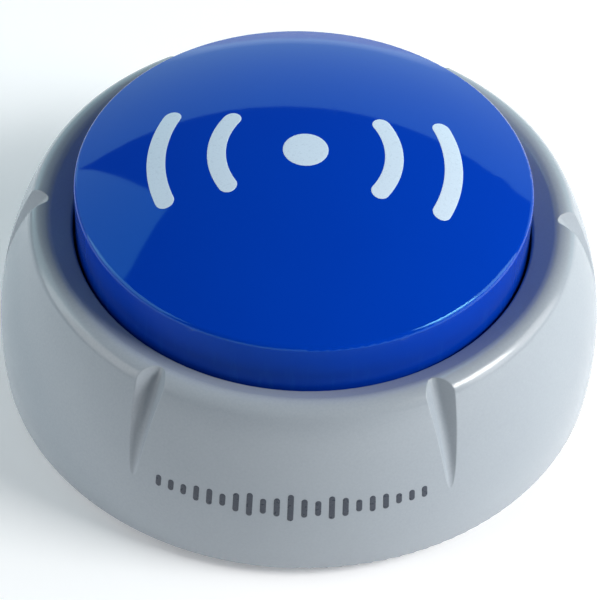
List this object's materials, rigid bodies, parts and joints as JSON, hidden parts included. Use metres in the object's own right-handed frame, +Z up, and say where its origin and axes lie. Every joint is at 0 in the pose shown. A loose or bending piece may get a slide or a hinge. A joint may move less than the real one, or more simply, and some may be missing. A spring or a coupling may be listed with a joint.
{
  "type": "quiz buzzer",
  "caption": "Round tabletop buzzer: a wide blue dome button sunk in a pale grey housing with notched grooves, on a rubber dome switch, with a speaker and a battery bay in its base.",
  "frame": {"origin": "centre of the footprint, on the plane that the rubber feet stand on", "axes": "+Z up along the button's travel, -Y towards the player, +X to the player's right"},
  "size_m": [0.091, 0.091, 0.0434],
  "materials": {
    "housing_plastic": "glossy pale pearl grey moulding",
    "button_plastic": "high-gloss deep blue moulding",
    "carrier_plastic": "natural white moulding",
    "mechanism_plastic": "fine-textured black moulding",
    "cover_plastic": "spark-textured pale grey moulding",
    "screw_steel": "zinc-plated steel",
    "spring_steel": "drawn spring wire",
    "plated_steel": "pressed plated steel",
    "silicone": "translucent grey silicone",
    "carbon": "conductive carbon",
    "board_laminate": "green solder mask over laminate",
    "potting_resin": "black potting resin",
    "capacitor_sleeve": "shrink sleeve",
    "resistor_ceramic": "glazed ceramic",
    "foot_rubber": "moulded black rubber",
    "foam": "closed-cell foam",
    "cone_film": "formed plastic film",
    "copper": "enamelled copper wire",
    "ferrite": "sintered ferrite",
    "tag_board": "brown phenolic laminate",
    "lead_insulation": "soft red and black insulation",
    "cell_sleeve": "printed metal sleeve",
    "contact_metal": "nickel-plated strip"
  },
  "bodies": {
    "base": {"upper_housing": "housing_plastic", "mechanism_deck": "mechanism_plastic", "deck_screws": "screw_steel", "return_spring": "spring_steel", "rubber_dome": "silicone", "circuit_board": "board_laminate", "contact_pads": "carbon", "sound_chip": "potting_resin", "filter_capacitor": "capacitor_sleeve", "chip_resistors": "resistor_ceramic", "board_screws": "screw_steel", "bottom_cover": "cover_plastic", "housing_screws": "screw_steel", "rubber_feet": "foot_rubber", "speaker_gasket": "foam", "speaker_frame": "plated_steel", "speaker_cone": "cone_film", "voice_coil": "copper", "speaker_magnet": "ferrite", "magnet_yoke": "plated_steel", "speaker_tag_board": "tag_board", "speaker_screws": "screw_steel", "speaker_leads": "lead_insulation", "front_cell": "cell_sleeve", "rear_cell": "cell_sleeve", "battery_coils": "spring_steel", "bridge_contact": "contact_metal", "positive_contact": "contact_metal", "negative_contact": "contact_metal", "battery_leads": "lead_insulation"},
    "button": {"button_cap": "button_plastic", "cap_carrier": "carrier_plastic", "cap_screws": "screw_steel"},
    "rear_leveller": {"rear_leveller_wire": "spring_steel"},
    "front_leveller": {"front_leveller_wire": "spring_steel"},
    "switch_pill": {"carbon_pill": "carbon"},
    "door": {"battery_door": "cover_plastic", "door_screw": "screw_steel"}
  },
  "joints": [
    {"name": "button_press", "type": "slide", "parent": "base", "child": "button", "axis": [0, 0, -1], "range_m": [0, 0.0035], "stiffness_N_per_m": 500, "springref_m": -0.003, "deforming": ["return_spring", "rubber_dome"]},
    {"name": "rear_leveller_tilt", "type": "hinge", "parent": "base", "child": "rear_leveller", "pos_m": [0, 0.017, 0.0233], "axis": [1, 0, 0], "range_deg": [0, 6.8]},
    {"name": "front_leveller_tilt", "type": "hinge", "parent": "base", "child": "front_leveller", "pos_m": [0, -0.017, 0.0233], "axis": [-1, 0, 0], "range_deg": [0, 6.8]},
    {"name": "pill_press", "type": "slide", "parent": "base", "child": "switch_pill", "axis": [0, 0, -1], "range_m": [0, 0.0035]},
    {"name": "battery_door_swing", "type": "hinge", "parent": "base", "child": "door", "pos_m": [0, 0.0256, 0.0023], "axis": [1, 0, 0], "range_deg": [0, 45]}
  ],
  "couplings": [
    {"joint": "rear_leveller_tilt", "follows": "button_press", "rad_per_m": 33.069},
    {"joint": "front_leveller_tilt", "follows": "button_press", "rad_per_m": 33.069},
    {"joint": "pill_press", "follows": "button_press", "ratio": 0.97}
  ]
}
